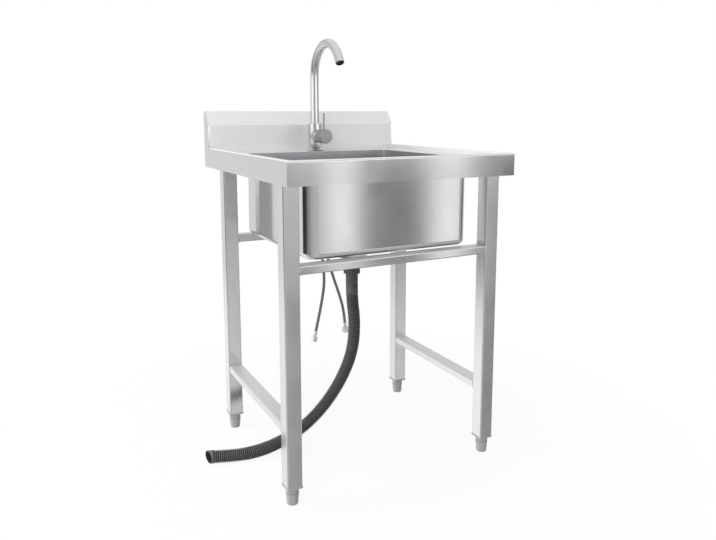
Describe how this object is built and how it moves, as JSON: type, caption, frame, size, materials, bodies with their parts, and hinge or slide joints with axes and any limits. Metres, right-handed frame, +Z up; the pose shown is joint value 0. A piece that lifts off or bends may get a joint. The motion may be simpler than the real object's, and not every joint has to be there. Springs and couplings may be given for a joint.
{
  "type": "freestanding sink",
  "caption": "Freestanding stainless sink: folded worktop with splashback and deep bowl on a tube frame, gooseneck mixer tap and corrugated drain hose.",
  "frame": {"origin": "on the floor, under the middle of the worktop's box", "axes": "+Z up, +X to the user's right, +Y to the back; the user stands on the -Y side"},
  "size_m": [0.7039, 0.64, 1.1018],
  "materials": {
    "sheet_steel": "brushed stainless sheet",
    "bowl_steel": "drawn and brushed stainless bowl",
    "tube_steel": "brushed stainless tube",
    "tap_nickel": "satin brushed tap metal",
    "drain_steel": "polished stainless drain",
    "plated_steel": "plated fasteners and nuts",
    "grey_plastic": "moulded grey plastic",
    "black_plastic": "moulded black plastic",
    "black_rubber": "black rubber",
    "hose_plastic": "dark grey corrugated hose",
    "braid": "dark grey braided sleeve",
    "foot_metal": "satin grey foot"
  },
  "bodies": {
    "frame": {"worktop": "sheet_steel", "splash_rear_panel": "sheet_steel", "bowl": "bowl_steel", "stiffener_left": "sheet_steel", "stiffener_right": "sheet_steel", "rail_front": "tube_steel", "rail_rear": "tube_steel", "rail_left": "tube_steel", "rail_right": "tube_steel", "leg_screws": "plated_steel", "tap_gasket": "black_rubber", "tap_base_ring": "tap_nickel", "tap_body": "tap_nickel", "tap_shank": "plated_steel", "tap_rubber_washer": "black_rubber", "tap_steel_washer": "plated_steel", "tap_mounting_nut": "plated_steel", "tap_cartridge": "black_plastic", "drain_body": "drain_steel", "drain_gasket": "black_rubber", "drain_lock_nut": "black_plastic", "drain_slip_nut": "black_plastic", "drain_hose_cuff": "hose_plastic", "drain_hose": "hose_plastic", "supply_hose_hot": "braid", "supply_hose_cold": "braid", "supply_ferrule_hot": "plated_steel", "supply_ferrule_cold": "plated_steel", "supply_nut_hot": "plated_steel", "supply_nut_cold": "plated_steel", "leg_front_left": "tube_steel", "leg_socket_front_left": "sheet_steel", "leg_insert_front_left": "grey_plastic", "leg_front_right": "tube_steel", "leg_socket_front_right": "sheet_steel", "leg_insert_front_right": "grey_plastic", "leg_rear_left": "tube_steel", "leg_socket_rear_left": "sheet_steel", "leg_insert_rear_left": "grey_plastic", "leg_rear_right": "tube_steel", "leg_socket_rear_right": "sheet_steel", "leg_insert_rear_right": "grey_plastic"},
    "spout": {"tap_spout": "tap_nickel", "tap_spout_seal": "black_rubber", "tap_aerator": "black_plastic"},
    "mixer": {"tap_turntable": "tap_nickel", "tap_stem_pin": "plated_steel"},
    "handle": {"tap_stem": "plated_steel", "tap_handle_cap": "tap_nickel", "tap_lever": "tap_nickel", "tap_grub_screw": "plated_steel"},
    "strainer": {"strainer_basket": "drain_steel"},
    "foot_front_left": {"foot_front_left": "foot_metal"},
    "foot_front_right": {"foot_front_right": "foot_metal"},
    "foot_rear_left": {"foot_rear_left": "foot_metal"},
    "foot_rear_right": {"foot_rear_right": "foot_metal"}
  },
  "joints": [
    {"name": "spout_swivel", "type": "hinge", "parent": "frame", "child": "spout", "pos_m": [0, 0.21, 0.87], "axis": [0, 0, 1], "continuous": true},
    {"name": "temperature_turn", "type": "hinge", "parent": "frame", "child": "mixer", "pos_m": [0, 0.164, 0.832], "axis": [0, 1, 0], "range_deg": [-45, 45]},
    {"name": "lever_tilt", "type": "hinge", "parent": "mixer", "child": "handle", "pos_m": [0, 0.164, 0.832], "axis": [1, 0, 0], "range_deg": [0, 20]},
    {"name": "strainer_lift", "type": "slide", "parent": "frame", "child": "strainer", "axis": [0, 0, 1], "range_m": [0, 0.2]},
    {"name": "foot_front_left_level", "type": "slide", "parent": "frame", "child": "foot_front_left", "axis": [0, 0, -1], "range_m": [0, 0.022]},
    {"name": "foot_front_right_level", "type": "slide", "parent": "frame", "child": "foot_front_right", "axis": [0, 0, -1], "range_m": [0, 0.022]},
    {"name": "foot_rear_left_level", "type": "slide", "parent": "frame", "child": "foot_rear_left", "axis": [0, 0, -1], "range_m": [0, 0.022]},
    {"name": "foot_rear_right_level", "type": "slide", "parent": "frame", "child": "foot_rear_right", "axis": [0, 0, -1], "range_m": [0, 0.022]}
  ]
}
